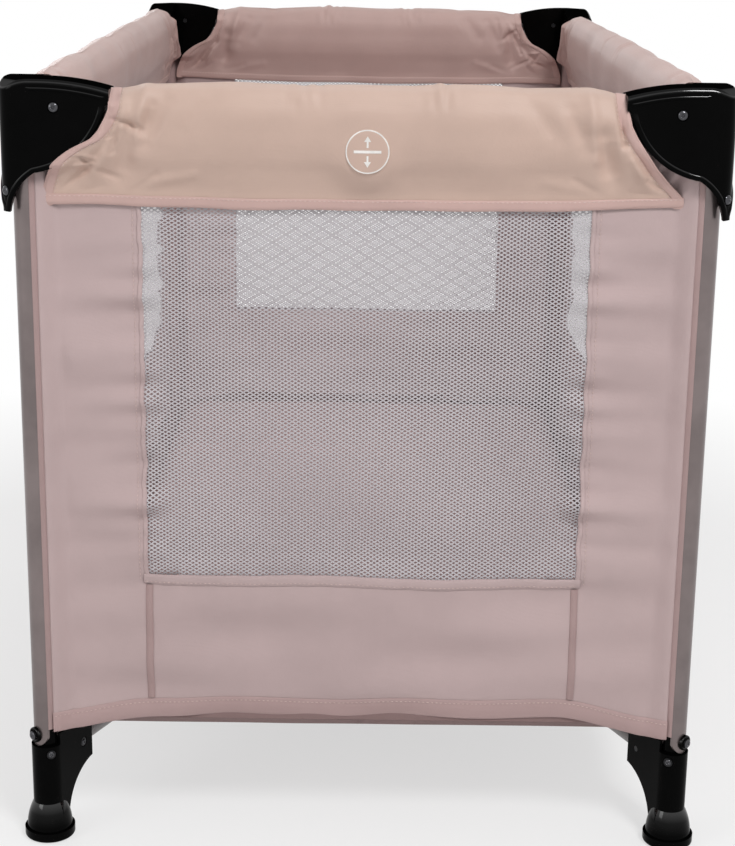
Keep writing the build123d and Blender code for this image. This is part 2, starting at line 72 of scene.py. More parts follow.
def place(side, a, o, z):
    # a runs along the side, o outwards from the posts' line
    s = sides[side]
    a, o, z = np.broadcast_arrays(np.asarray(a, float), np.asarray(o, float), np.asarray(z, float))
    x = s["along"][0] * a + s["out"][0] * (s["dist"] + o)
    y = s["along"][1] * a + s["out"][1] * (s["dist"] + o)
    return np.stack([x, y, z], -1)


def outwardOf(side):
    return np.array([sides[side]["out"][0], sides[side]["out"][1], 0.0])


# soft noise made of a few crossing waves, the same on every run
def ripple(x, y, seed, size, stretch=1.0, waves=7):
    rng = np.random.default_rng(seed)
    total = np.zeros(np.broadcast(x, y).shape)
    for _ in range(waves):
        turn = rng.uniform(0, 2 * math.pi)
        length = size * rng.uniform(0.6, 1.7)
        total += np.sin((x * math.cos(turn) / stretch + y * math.sin(turn)) * 2 * math.pi / length
                        + rng.uniform(0, 6.28))
    return total / math.sqrt(waves)


def ease(x, a, b):
    t = np.clip((np.asarray(x, float) - a) / (b - a), 0, 1)
    return t * t * (3 - 2 * t)


def curve(t, knots, values):
    # smooth path through the knots
    knots, values = np.asarray(knots, float), np.asarray(values, float)
    slope = np.gradient(values, knots)
    i = np.clip(np.searchsorted(knots, t) - 1, 0, len(knots) - 2)
    h = knots[i + 1] - knots[i]
    s = (t - knots[i]) / h
    return ((2 * s**3 - 3 * s**2 + 1) * values[i] + (s**3 - 2 * s**2 + s) * h * slope[i]
            + (-2 * s**3 + 3 * s**2) * values[i + 1] + (s**3 - s**2) * h * slope[i + 1])


def addPiece(name, points, faces, material, smooth=True):
    mesh = bpy.data.meshes.new(name)
    faces = faces if isinstance(faces, list) else np.asarray(faces).tolist()
    mesh.from_pydata(np.asarray(points).reshape(-1, 3).tolist(), [], faces)
    mesh.update()
    if smooth:
        mesh.polygons.foreach_set("use_smooth", [True] * len(mesh.polygons))
    mesh.materials.append(material)
    piece = bpy.data.objects.new(name, mesh)
    bpy.context.scene.collection.objects.link(piece)
    return piece


def gridFaces(rows, cols, wrap=False, mask=None, start=0):
    r = np.arange(rows - 1)[:, None]
    c = np.arange(cols if wrap else cols - 1)[None, :]
    n = (c + 1) % cols
    quads = np.stack([r * cols + c, r * cols + n, (r + 1) * cols + n, (r + 1) * cols + c], -1) + start
    quads = quads.reshape(-1, 4)
    return quads if mask is None else quads[np.asarray(mask).reshape(-1)]


# a round cord along a path
def cordMesh(path, radius, around=8, closed=False):
    path = np.asarray(path, float)
    ahead = np.roll(path, -1, 0) - np.roll(path, 1, 0)
    if not closed:
        ahead[0], ahead[-1] = path[1] - path[0], path[-1] - path[-2]
    ahead /= np.linalg.norm(ahead, axis=1)[:, None]
    helper = np.array([0.31, 0.47, 0.83])   # any way that no cord runs
    s1 = np.cross(ahead, helper)
    s1 /= np.linalg.norm(s1, axis=1)[:, None]
    s2 = np.cross(ahead, s1)
    turn = np.linspace(0, 2 * math.pi, around, endpoint=False)
    ring = np.cos(turn)[None, :, None] * s1[:, None] + np.sin(turn)[None, :, None] * s2[:, None]
    pts = path[:, None] + radius * ring
    return pts.reshape(-1, 3), gridFaces(len(path), around, wrap=True)


# stitches laid end to end along a path, each a small lens of thread
def stitchMesh(path, lift, length=0.0032, gap=0.0012, width=0.00045):
    path, lift = np.asarray(path, float), np.asarray(lift, float)
    step = np.linalg.norm(np.diff(path, axis=0), axis=1)
    run = np.concatenate([[0], np.cumsum(step)])
    starts = np.arange(gap, run[-1] - length, length + gap)

    def pick(values, distance):
        return np.stack([np.interp(distance, run, values[:, k]) for k in range(3)], -1)

    up = pick(lift, starts)
    p0, p1 = pick(path, starts), pick(path, starts + length)
    mid = (p0 + p1) / 2
    ahead = (p1 - p0) / np.linalg.norm(p1 - p0, axis=1)[:, None]
    across = np.cross(ahead, up)
    pts = np.stack([p0, mid + across * width, mid + up * width, mid - across * width,
                    mid - up * width * 0.4, p1], 1)
    one = [[0, 1, 2], [0, 2, 3], [0, 3, 4], [0, 4, 1], [5, 2, 1], [5, 3, 2], [5, 4, 3], [5, 1, 4]]
    faces = (np.arange(len(starts))[:, None, None] * 6 + np.array(one)[None]).reshape(-1, 3)
    return pts.reshape(-1, 3), faces


def joinMeshes(parts):
    points, faces, n = [], [], 0
    for p, f in parts:
        points.append(np.asarray(p).reshape(-1, 3))
        faces += [[k + n for k in face] for face in (f.tolist() if hasattr(f, "tolist") else f)]
        n += len(points[-1])
    return np.concatenate(points), faces


# materials
def toLinear(rgb):
    # from screen values of 0 to 255
    shares = [c / 255 for c in rgb]
    return [(c / 12.92 if c <= 0.04045 else ((c + 0.055) / 1.055) ** 2.4) for c in shares] + [1.0]


def newMaterial(name):
    material = bpy.data.materials.new(name)
    material.use_nodes = True
    tree = material.node_tree
    return material, tree, tree.nodes["Principled BSDF"]


def addNode(tree, kind, **values):
    node = tree.nodes.new(kind)
    for key, value in values.items():
        if hasattr(node, key):
            setattr(node, key, value)
        else:
            node.inputs[key].default_value = value
    return node


def mathNode(tree, operation, first, second):
    node = addNode(tree, "ShaderNodeMath", operation=operation)
    tree.links.new(first, node.inputs[0])
    tree.links.new(second, node.inputs[1])
    return node.outputs[0]


def noiseNode(tree, coord, scale, detail, **more):
    node = addNode(tree, "ShaderNodeTexNoise", Scale=scale, Detail=detail, **more)
    tree.links.new(coord, node.inputs["Vector"])
    return node.outputs["Fac"]


def rampInto(socket, tree, source, stops):
    node = tree.nodes.new("ShaderNodeValToRGB")
    bar = node.color_ramp.elements
    bar[0].position, bar[0].color = stops[0]
    bar[1].position, bar[1].color = stops[-1]
    for position, colour in stops[1:-1]:
        bar.new(position).color = colour
    tree.links.new(source, node.inputs["Fac"])
    tree.links.new(node.outputs["Color"], socket)


def bumpInto(shader, tree, height, strength, distance):
    bump = addNode(tree, "ShaderNodeBump", Strength=strength, Distance=distance)
    tree.links.new(height, bump.inputs["Height"])
    tree.links.new(bump.outputs["Normal"], shader.inputs["Normal"])


def grey(v):
    return (v, v, v, 1.0)


def tones(colour, darker, lighter):
    # a colour with a darker and a lighter shade of it
    base = np.array(toLinear(colour))
    dark, light = base * darker, np.minimum(base * lighter, 1)
    dark[3] = light[3] = 1
    return tuple(dark), tuple(base), tuple(light)


# woven cloth: crossing thread waves for the bump, slow cloudy shade changes, a little sheen
def cloth(name, look):
    material, tree, shader = newMaterial(name)
    coord = addNode(tree, "ShaderNodeTexCoord").outputs["Object"]
    waves = [addNode(tree, "ShaderNodeTexWave", bands_direction=way, wave_profile="SIN", Scale=look["threads"])
             for way in "XZY"]
    for wave in waves:
        tree.links.new(coord, wave.inputs["Vector"])
    warp, weft, side = [wave.outputs["Fac"] for wave in waves]
    cloud = noiseNode(tree, coord, look["cloud"], 5.0, Roughness=0.6)
    slub = noiseNode(tree, coord, 420.0, 2.0)
    onFront, onSide = mathNode(tree, "MULTIPLY", warp, weft), mathNode(tree, "MULTIPLY", side, weft)
    weave = mathNode(tree, "MAXIMUM", onFront, onSide)
    bumpInto(shader, tree, mathNode(tree, "ADD", weave, slub), look["bump"], 0.0004)
    dark, base, light = tones(look["colour"], 0.94, 1.04)
    rampInto(shader.inputs["Base Color"], tree, cloud, [(0.3, dark), (0.52, base), (0.75, light)])
    smoother, rougher = grey(look["rough"] - 0.08), grey(look["rough"] + 0.08)
    rampInto(shader.inputs["Roughness"], tree, slub, [(0.2, smoother), (0.8, rougher)])
    shader.inputs["Sheen Weight"].default_value = look["sheen"]
    shader.inputs["Sheen Roughness"].default_value = 0.4
    shader.inputs["Specular IOR Level"].default_value = look.get("shine", 0.3)
    return material


wallCloth = cloth("wall cloth", dict(
    colour=(194, 172, 171), threads=310.0, cloud=9.0, bump=0.35, rough=0.62, sheen=0.10))
coverCloth = cloth("cover cloth", dict(
    colour=(205, 177, 163), threads=340.0, cloud=11.0, bump=0.3, rough=0.46, sheen=0.12, shine=0.45))
sideCoverCloth = cloth("side cover cloth", dict(
    colour=(202, 171, 164), threads=340.0, cloud=11.0, bump=0.3, rough=0.46, sheen=0.12, shine=0.45))
hemCloth = cloth("hem cloth", dict(
    colour=(205, 173, 166), threads=340.0, cloud=14.0, bump=0.3, rough=0.5, sheen=0.12))
lowHemCloth = cloth("lower hem cloth", dict(
    colour=(183, 156, 154), threads=310.0, cloud=12.0, bump=0.35, rough=0.62, sheen=0.10))
floorCloth = cloth("floor cloth", dict(
    colour=(140, 116, 114), threads=260.0, cloud=7.0, bump=0.4, rough=0.8, sheen=0.1))
mattressCloth = cloth("mattress cloth", dict(
    colour=(186, 158, 156), threads=300.0, cloud=6.0, bump=0.35, rough=0.7, sheen=0.12))
# darker cloth for the seams and the mattress piping; the same cloth is laid round each post, where its darker
# tone is painted shade
seamAndShadeCloth = cloth("seam tape and painted shade", dict(
    colour=(174, 148, 146), threads=420.0, cloud=20.0, bump=0.3, rough=0.66, sheen=0.1))
threadCloth = cloth("thread", dict(
    colour=(214, 192, 186), threads=900.0, cloud=40.0, bump=0.2, rough=0.6, sheen=0.2))

# fine white knitted net
yarn = dict(dark=(0.505, 0.475, 0.498, 1), light=(0.575, 0.545, 0.568, 1), rough=(0.6, 0.85), bump=0.2,
            sheen=0.1)


def netMaterial():
    material, tree, shader = newMaterial("net yarn")
    coord = addNode(tree, "ShaderNodeTexCoord").outputs["Object"]
    cloud = noiseNode(tree, coord, 8.0, 3.0)
    fibre = noiseNode(tree, coord, 900.0, 2.0)
    rampInto(shader.inputs["Base Color"], tree, cloud, [(0.3, yarn["dark"]), (0.7, yarn["light"])])
    smoother, rougher = [grey(v) for v in yarn["rough"]]
    rampInto(shader.inputs["Roughness"], tree, fibre, [(0.2, smoother), (0.8, rougher)])
    bumpInto(shader, tree, fibre, yarn["bump"], 0.0002)
    shader.inputs["Sheen Weight"].default_value = yarn["sheen"]
    return material


# hard materials: a slow cloud for tone, a fine grain for roughness and bump
def hard(name, look):
    material, tree, shader = newMaterial(name)
    coord = addNode(tree, "ShaderNodeTexCoord")
    grainCoord = coord.outputs["Object"]
    if "brush" in look:
        stretch = addNode(tree, "ShaderNodeMapping", Scale=look["brush"])
        tree.links.new(grainCoord, stretch.inputs["Vector"])
        grainCoord = stretch.outputs["Vector"]
    cloud = noiseNode(tree, coord.outputs["Object"], look["cloud"], 4.0, Roughness=0.6)
    grain = noiseNode(tree, grainCoord, look["grain"], 3.0)
    dark, _, light = tones(look["colour"], 0.86, 1.12)
    rampInto(shader.inputs["Base Color"], tree, cloud, [(0.35, dark), (0.65, light)])
    smoother, rougher = [grey(v) for v in look["rough"]]
    rampInto(shader.inputs["Roughness"], tree, grain, [(0.25, smoother), (0.75, rougher)])
    bumpInto(shader, tree, grain, look["bump"], 0.0003)
    shader.inputs["Metallic"].default_value = look.get("metal", 0.0)
    shader.inputs["Coat Weight"].default_value = look.get("coat", 0.0)
    shader.inputs["Coat Roughness"].default_value = 0.12
    shader.inputs["Specular IOR Level"].default_value = 0.5
    shader.inputs["IOR"].default_value = 1.5
    if "gloss" in look:
        # how strongly a face mirrors, by how far it looks up: most on the rounded rims, not at all
        # on top, so that level faces don't take on the white of the surroundings
        facing = addNode(tree, "ShaderNodeSeparateXYZ")
        tree.links.new(coord.outputs["Normal"], facing.inputs["Vector"])
        stops = [(lookUp, grey(level)) for lookUp, level in look["gloss"]]
        rampInto(shader.inputs["Specular IOR Level"], tree, facing.outputs["Z"], stops)
    return material


blackPlastic = hard("black plastic", dict(
    colour=(6, 6, 6), cloud=30.0, grain=700.0, rough=(0.06, 0.12), bump=0.03,
    gloss=[(0.08, 0.025), (0.3, 0.12), (0.46, 0.55), (0.64, 0.12), (0.93, 0.0)]))
postPaint = hard("satin grey paint", dict(
    colour=(124, 113, 112), cloud=14.0, grain=600.0, rough=(0.28, 0.36), bump=0.04,
    metal=0.7, coat=0.1, brush=(1, 1, 0.12)))
railPaint = hard("rail paint", dict(
    colour=(140, 136, 136), cloud=16.0, grain=500.0, rough=(0.36, 0.5), bump=0.04, metal=0.4))
brightSteel = hard("bright steel", dict(
    colour=(78, 78, 81), cloud=60.0, grain=1400.0, rough=(0.1, 0.2), bump=0.06, metal=1.0))
whitePrint = hard("white print", dict(
    colour=(240, 236, 232), cloud=60.0, grain=1500.0, rough=(0.5, 0.62), bump=0.05))
darkSteel = hard("blackened steel", dict(
    colour=(34, 34, 36), cloud=60.0, grain=1200.0, rough=(0.3, 0.42), bump=0.05, metal=0.7))
netYarn = netMaterial()
print("materials ready")

slotLook = {"post_steel": postPaint, "rail_steel": railPaint, "black_plastic": blackPlastic,
            "bright_steel": darkSteel, "button_plastic": coverCloth, "cover_fabric": coverCloth,
            "wall_fabric": wallCloth, "net_mesh": netYarn, "floor_fabric": floorCloth,
            "mattress_fabric": mattressCloth}
slotOf = {part["node"]: part["material_slot"] for part in frame["record"]["subparts"]}
for nodeName, solid in frame["nodes"].items():
    solid.data.materials.clear()
    solid.data.materials.append(slotLook[slotOf[nodeName]])


def gather(piece, side):
    # a wall rides on the corner of its post
    ride = wallRide[side]
    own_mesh(piece)
    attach(piece, "corner_" + ride["corner"])


def wallTrim(name, side, points, faces, material, slot="wall_fabric", smooth=True):
    # a smaller piece sewn to a wall, which gathers with it
    piece = addPiece(name + "_" + side, points, faces, material, smooth)
    gather(piece, side)
    return piece


# fabric walls: side panels and lower band in one cloth, cut out for the net
wall = dict(top=0.6580, netTop=0.6460, hemMid=0.130, hemEnd=0.1165, windowLow=0.276, panel=0.104,
            postEdge=0.009, riseRight=0.050, riseLeft=0.015, postWrapTop=0.672, thick=0.0011, hang=0.0010)
# how far each kind of fold swells the wall
drape = dict(post=0.0088, pucker=0.0040, folds=0.0024, slack=0.0014, belly=0.0022, hem=0.0016, under=0.0062,
             band=0.0010, pleats=0.0020, tuck=0.004)
# the net: spacing and size of its knots, how uneven it is and how far it sags
knit = dict(pitchA=0.00615, pitchZ=0.00375, knotA=0.00116, knotZ=0.00072, unevenA=0.00030, unevenZ=0.00022,
            sag=0.0022, under=0.0009, hang=0.0004)
# cross sections of the sewn edges: places across the edge and how far each stands off the cloth
hemRows = np.array([0.0, 0.0004, 0.002, 0.010, 0.019, 0.0205])
hemLift = np.array([0.0002, 0.0011, 0.0017, 0.0019, 0.0015, 0.0003])
tapeRows = np.array([-0.0055, -0.005, -0.002, 0.002, 0.005, 0.0055])
tapeLift = np.array([0.0002, 0.0010, 0.0018, 0.0018, 0.0012, 0.0004])
seamRows = np.array([-0.0036, -0.0028, 0, 0.0028, 0.0036])
seamLift = np.array([0.0003, 0.0013, 0.0022, 0.0013, 0.0003])
# angles and radii of the wall cloth's edge round each post, drawn in darker cloth as painted shade
postWrapTurn = np.radians([18, 20, 40, 65, 90, 115, 140, 156, 158])
postWrapRadius = np.array([0.0127, 0.0131, 0.0132, 0.0132, 0.0132, 0.0132, 0.0132, 0.0131, 0.0127])
# strip between the wall's lower edge and the floor sheet
skirtCut = dict(ends=0.016, floorZ=0.1262, floorOut=-0.0045, lap=0.010, fall=0.0030)


def wallBottom(side, a):
    half = sides[side]["half"]
    end = ease(np.abs(a), half * 0.62, half - 0.02)
    return (wall["hemMid"] + (wall["hemEnd"] - wall["hemMid"]) * end
            + 0.0011 * ripple(a, a * 0, 40 + len(side) * 7 + ord(side[0]), 0.16))


def wallTop(side, a):
    # higher at the posts, where it runs up behind the bracket
    u = sides[side]["half"] - np.abs(a)
    return wall["top"] + np.where(a > 0, wall["riseRight"] * (1 - ease(u, 0.045, 0.088)),
                                  wall["riseLeft"] * (1 - ease(u, 0.022, 0.060)))


def wallOut(side, a, z):
    half = sides[side]["half"]
    seed = ord(side[0])
    u = half - np.abs(a)   # distance from the post
    window = half - wall["panel"]
    toPost = drape["post"] * (1 - ease(u, 0.009, 0.03))
    inPanel = ease(u, 0.012, 0.04)
    beside = np.abs(a) - window
    edge = (np.exp(-np.clip(beside, 0, 1) / 0.034) * np.exp(-np.clip(-beside, 0, 1) / 0.006)
            * ease(z, 0.24, 0.31))
    pucker = drape["pucker"] * edge * ripple(beside * 0.16, z, seed + 3, 0.027)
    folds = drape["folds"] * inPanel * ripple(a * 0.22 + z * 0.06, z, seed + 5, 0.055)
    slack = drape["slack"] * inPanel * ripple(a, z, seed + 9, 0.19)
    belly = drape["belly"] * ease(u, 0.015, 0.06) * np.sin(np.clip((z - 0.13) / 0.5, 0, 1) * math.pi)
    hem = drape["hem"] * (1 - ease(z, 0.13, 0.175)) * ripple(a, a * 0, seed + 11, 0.11)
    under = -drape["under"] * (1 - ease(z, 0.112, 0.158)) * ease(u, 0.02, 0.06)
    bandEdge = np.exp(-np.abs(z - wall["windowLow"]) / 0.022) * (1 - ease(np.abs(a), window - 0.02, window))
    band = drape["band"] * bandEdge * ripple(a, z * 0.3, seed + 13, 0.034)
    calm = 1 - ease(z, 0.605, 0.640)
    byPost = (1 - ease(u, 0.05, 0.08)) * ease(u, 0.013, 0.02)
    pleats = (drape["pleats"] * ease(z, 0.646, 0.662) * byPost
              * ripple(u + z * 0.8, z * 0.2, seed + 15, 0.015))
    # fills the hollow under the bracket at the right
    tuck = (drape["tuck"] * ease(z, 0.664, 0.682) * (a > 0) * ease(u, 0.018, 0.03)
            * (1 - ease(u, 0.06, 0.085)))
    return (wall["hang"] + toPost + (pucker + folds + slack + belly) * calm + hem + under + band + pleats
            + tuck)


def wallStitches(side, aRow, zRow, proud):
    return stitchMesh(place(side, aRow, wallOut(side, aRow, zRow) + proud, zRow),
                      np.tile(outwardOf(side), (len(aRow), 1)))


# a lattice of knots and slanted strands leaving staggered eyes
def netMesh(side, window):
    seed = ord(side[0])
    pitchA, pitchZ = knit["pitchA"], knit["pitchZ"]
    aLow, aHigh = -window - 0.002, window + 0.002
    zLow, zHigh = wall["windowLow"] - 0.003, wall["netTop"]
    nA, nZ = int((aHigh - aLow) / pitchA) + 1, int((zHigh - zLow) / (pitchZ / 2)) + 1
    i, j = np.meshgrid(np.arange(nA), np.arange(nZ))
    ca = np.minimum(aLow + (i + 0.5 * (j % 2)) * pitchA, aHigh)
    cz = zLow + j * pitchZ / 2
    ka, kz = knit["knotA"], knit["knotZ"]
    knot = np.stack([np.stack([ca + ka, cz], -1), np.stack([ca, cz + kz], -1),
                     np.stack([ca - ka, cz], -1), np.stack([ca, cz - kz], -1)], -2)
    flat = knot.reshape(-1, 2)
    flat = flat + np.stack([knit["unevenA"] * ripple(flat[:, 0], flat[:, 1], seed + 24, 0.045),
                            knit["unevenZ"] * ripple(flat[:, 0], flat[:, 1], seed + 25, 0.038)], -1)
    a, z = np.clip(flat[:, 0], aLow, aHigh), flat[:, 1]
    sag = (knit["sag"] * np.sin(np.clip((a - aLow) / (aHigh - aLow), 0, 1) * math.pi)
           * ripple(a, z, seed + 20, 0.22))
    # near its edge the net lies against the cloth that holds it
    inNet = np.minimum(window - np.abs(a), z - wall["windowLow"])
    held = 1 - ease(inNet, 0.0, 0.028)
    nearest = np.where(np.abs(a) > window - 0.03, np.sign(a) * window, a)
    onCloth = wallOut(side, nearest, z) - knit["under"]
    points = place(side, a, held * onCloth + (1 - held) * (sag - knit["hang"]), z)
    index = (j * nA + i) * 4
    quads = [np.stack([index, index + 1, index + 2, index + 3], -1).reshape(-1, 4)]
    here = index[:-1]
    odd = (j[:-1] % 2) == 1
    # right-up and left-up strands to the next row
    for way in (1, -1):
        ni = i[:-1] + np.where(odd, 1 if way == 1 else 0, 0 if way == 1 else -1)
        ok = (ni >= 0) & (ni < nA)
        there = ((j[:-1] + 1) * nA + np.clip(ni, 0, nA - 1)) * 4
        if way == 1:
            strand = np.stack([here + 0, there + 3, there + 2, here + 1], -1)
        else:
            strand = np.stack([here + 1, there + 0, there + 3, here + 2], -1)
        quads.append(strand[ok])
    return points, np.concatenate(quads)


for side, s in sides.items():
    half = s["half"]
    window = half - wall["panel"]
    outer = half - wall["postEdge"]
    acrossN = 60
    mid = np.linspace(-window, window, int(2 * window / 0.006) + 1)
    left = np.linspace(-outer, -window, acrossN, endpoint=False)
    aLine = np.concatenate([left, mid, -left[::-1]])
    low = np.linspace(0, 1, 42)
    high = np.linspace(0, 1, 120)[1:]
    a = np.tile(aLine[None, :], (len(low) + len(high), 1))
    bottom = wallBottom(side, aLine)
    z = np.concatenate([bottom[None] + low[:, None] * (wall["windowLow"] - bottom[None]),
                        wall["windowLow"] + high[:, None] * (wallTop(side, aLine) - wall["windowLow"])[None]])
    pts = place(side, a, wallOut(side, a, z), z)
    isOpen = np.zeros((len(z) - 1, len(aLine) - 1), bool)
    isOpen[len(low) - 1:, acrossN:acrossN + len(mid) - 1] = True
    panel = addPiece("panel_" + side, pts, gridFaces(len(z), len(aLine), mask=~isOpen), wallCloth)
    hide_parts("wall_" + side)
    thick = panel.modifiers.new("cloth", "SOLIDIFY")
    thick.thickness, thick.offset = wall["thick"], -1
    gather(panel, side)

    # hem band at the bottom, turned over and stitched
    aHem = np.linspace(-outer, outer, int(2 * outer / 0.005))
    z = wallBottom(side, aHem)[None] - 0.0004 + hemRows[:, None]
    o = wallOut(side, aHem[None], z) + hemLift[:, None]
    faces = gridFaces(len(hemRows), len(aHem))
    hem = wallTrim("hem", side, place(side, aHem[None], o, z), faces, lowHemCloth)

    # folded tape along the net: bottom and both sides of the window
    tape = []
    aTape = np.linspace(-window - 0.004, window + 0.004, int(2 * window / 0.005))
    z = wall["windowLow"] - 0.002 + tapeRows[:, None] + 0 * aTape[None]
    tape.append((place(side, aTape[None], wallOut(side, aTape[None], z) + tapeLift[:, None], z),
                 gridFaces(len(tapeRows), len(aTape))))
    zTape = np.linspace(wall["windowLow"] - 0.004, wall["top"], 130)
    for way in (-1, 1):
        aT = way * (window + 0.0012) + tapeRows[:, None] * 0.4 * way + 0 * zTape[None]
        aT = aT + 0.0007 * ripple(zTape, zTape * 0, 77 + way, 0.022)[None]
        tape.append((place(side, aT, wallOut(side, aT, zTape[None]) + tapeLift[:, None] * 0.7, zTape[None]),
                     gridFaces(len(tapeRows), len(zTape))))
    netEdge = wallTrim("net_edge", side, *joinMeshes(tape), wallCloth)

    # seam where the lower band meets the side panels
    seam = []
    for way in (-1, 1):
        zSeam = np.linspace(0, 1, 40)
        aS = way * (window - 0.001) + seamRows[:, None] + 0 * zSeam[None]
        bottomS = wallBottom(side, aS[2:3, :1])[0, 0]
        zS = bottomS + 0.0212 + zSeam * (wall["windowLow"] - 0.0290 - bottomS)
        seam.append((place(side, aS, wallOut(side, aS, zS[None]) + seamLift[:, None], zS[None]),
                     gridFaces(len(seamRows), len(zSeam))))
    bandSeam = wallTrim("band_seam", side, *joinMeshes(seam), seamAndShadeCloth)

    # the wall cloth's edge laid round the post, in the darker seam cloth: the cloth round the post is real, its
    # darker tone is painted shade where it turns behind the post
    postWrapStrips = []
    for way in (-1, 1):
        zB = np.linspace(wall["hemEnd"] + 0.002, wall["postWrapTop"], 60)
        aB = way * (half - postWrapRadius * np.sin(postWrapTurn))
        oB = postWrapRadius * np.cos(postWrapTurn)
        postWrapStrips.append((place(side, aB[:, None], oB[:, None], zB[None]), gridFaces(len(postWrapTurn), len(zB))))
    postWrapPaintedShade = wallTrim("post_wrap_painted_shade", side, *joinMeshes(postWrapStrips), seamAndShadeCloth)

    # strip that joins the wall's lower edge to the floor
    aSkirt = np.linspace(-half + skirtCut["ends"], half - skirtCut["ends"], int(2 * half / 0.006))
    rise = np.array([0.0, 0.3, 0.6, 0.85, 1.0])[:, None]
    bottom = wallBottom(side, aSkirt)
    zSkirt = skirtCut["floorZ"] + (bottom[None] + skirtCut["lap"] - skirtCut["floorZ"]) * rise
    onWall = wallOut(side, aSkirt, bottom + skirtCut["lap"])
    oSkirt = skirtCut["floorOut"] + (onWall[None] + skirtCut["fall"]) * rise**2
    skirt = wallTrim("skirt", side, place(side, aSkirt[None], oSkirt, zSkirt),
                     gridFaces(len(rise), len(aSkirt)), floorCloth, slot="floor_fabric")

    # thread
    lines = [wallStitches(side, aHem, wallBottom(side, aHem) + 0.0165, 0.0019),
             wallStitches(side, aTape, 0 * aTape + wall["windowLow"] - 0.0045, 0.0020)]
    for way in (-1, 1):
        lines.append(wallStitches(side, 0 * zTape + way * (window + 0.0075), zTape, 0.0006))
    threads = wallTrim("wall_stitching", side, *joinMeshes(lines), threadCloth, smooth=False)

    net = addPiece("window_net_" + side, *netMesh(side, window), netYarn)
    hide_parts("net_" + side)
    gather(net, side)
print("walls and nets made")

# padded rail covers: a soft sleeve over each rail half, cut back round the bracket
cover = dict(railZ=0.730, markOut=0.0212, lapOut=0.0232, endDip=0.0065, hemLow=0.0046, hemRight=0.0068,
             hemLeft=0.0038, edgeCord=0.0009, hemStitch=0.064)
badge = dict(z=0.694, radius=0.0206)
# how far each kind of fold swells a cover
padding = dict(pinch=0.0016, soft=0.0011, sag=0.0016, inner=0.0009, hemZ=0.0008, hemOut=0.0012)
# half of the sleeve's section, from the hem (0) to the crest (1)
outlineT = [0.0, 0.10, 0.22, 0.42, 0.62, 0.82, 0.92, 1.0]
outlineO = [0.0036, 0.0050, 0.0100, 0.0178, 0.0212, 0.0196, 0.0120, 0.0]
outlineZ = [0.6425, 0.6545, 0.6680, 0.6870, 0.7080, 0.7335, 0.7465, 0.7518]
# how far the cover's end lies from the post at each height: lapped over the bracket, or cut slanting below it
lappedZ = [0.640, 0.652, 0.6575, 0.6694, 0.6794, 0.686, 0.6922, 0.6975, 0.7014, 0.710, 0.7247, 0.735, 0.76]
lappedU = [0.0150, 0.0158, 0.0169, 0.0219, 0.0276, 0.0350, 0.0437, 0.0540, 0.0628, 0.0705, 0.0772, 0.0803,
           0.0806]
slantedZ = [0.640, 0.648, 0.653, 0.6651, 0.6791, 0.6971, 0.7091, 0.721, 0.740, 0.76]
slantedU = [0.0222, 0.0222, 0.0243, 0.0361, 0.0485, 0.0618, 0.0700, 0.0755, 0.0790, 0.0800]
# creases at a cover's ends: from, to, half width and depth, in millimetres from the post and the floor
creases = [(85, 746, 78, 702, 3.0, -8.5), (80, 700, 42, 662, 4, -5.0), (55, 670, 30, 655, 2.5, -4.5),
           (98, 712, 85, 662, 10, -9.0), (72, 690, 58, 658, 4.5, 3.6), (113, 744, 101, 690, 6, 4.4),
           (48, 682, 34, 668, 3, 2.4), (132, 738, 114, 698, 7, -5.0), (152, 668, 98, 656, 5, 3.0),
           (70, 662, 44, 652, 2.6, -3.2), (170, 744, 142, 708, 9, -3.4), (120, 668, 92, 654, 3.4, -3.6)]
# more of them where the left end laps over the bracket
leftCreases = [(86, 724, 106, 709, 2.8, -5.2), (90, 717, 81, 690, 2.6, -5.6), (97, 735, 92, 716, 4.0, 3.2),
               (48, 690, 64, 683, 2.0, 2.8), (54, 685, 63, 674, 1.8, -2.8), (44, 675, 60, 679, 2.0, 2.4),
               (116, 736, 112, 706, 5.0, -4.2), (68, 676, 88, 664, 2.6, -3.0)]


def endEdge(z, slanting):
    z = np.asarray(z, float)
    return np.where(slanting, np.interp(z, slantedZ, slantedU), np.interp(z, lappedZ, lappedU))


def creased(u, z, seed, lines):
    rng = np.random.default_rng(seed)
    total = 0 * u
    for u1, z1, u2, z2, wide, deep in lines:
        moved = rng.uniform(-4, 4, 4) / 1000
        p1, p2 = np.array([u1, z1]) / 1000 + moved[:2], np.array([u2, z2]) / 1000 + moved[2:]
        run = p2 - p1
        t = np.clip(((u - p1[0]) * run[0] + (z - p1[1]) * run[1]) / (run @ run), 0, 1)
        far = np.hypot(u - p1[0] - t * run[0], z - p1[1] - t * run[1])
        taper = 0.35 + 0.65 * np.sin(np.clip(t, 0.12, 0.88) * math.pi)
        total = total + deep / 1000 * rng.uniform(0.7, 1.2) * np.exp(-(far / (wide / 1000)) ** 2) * taper
    return total


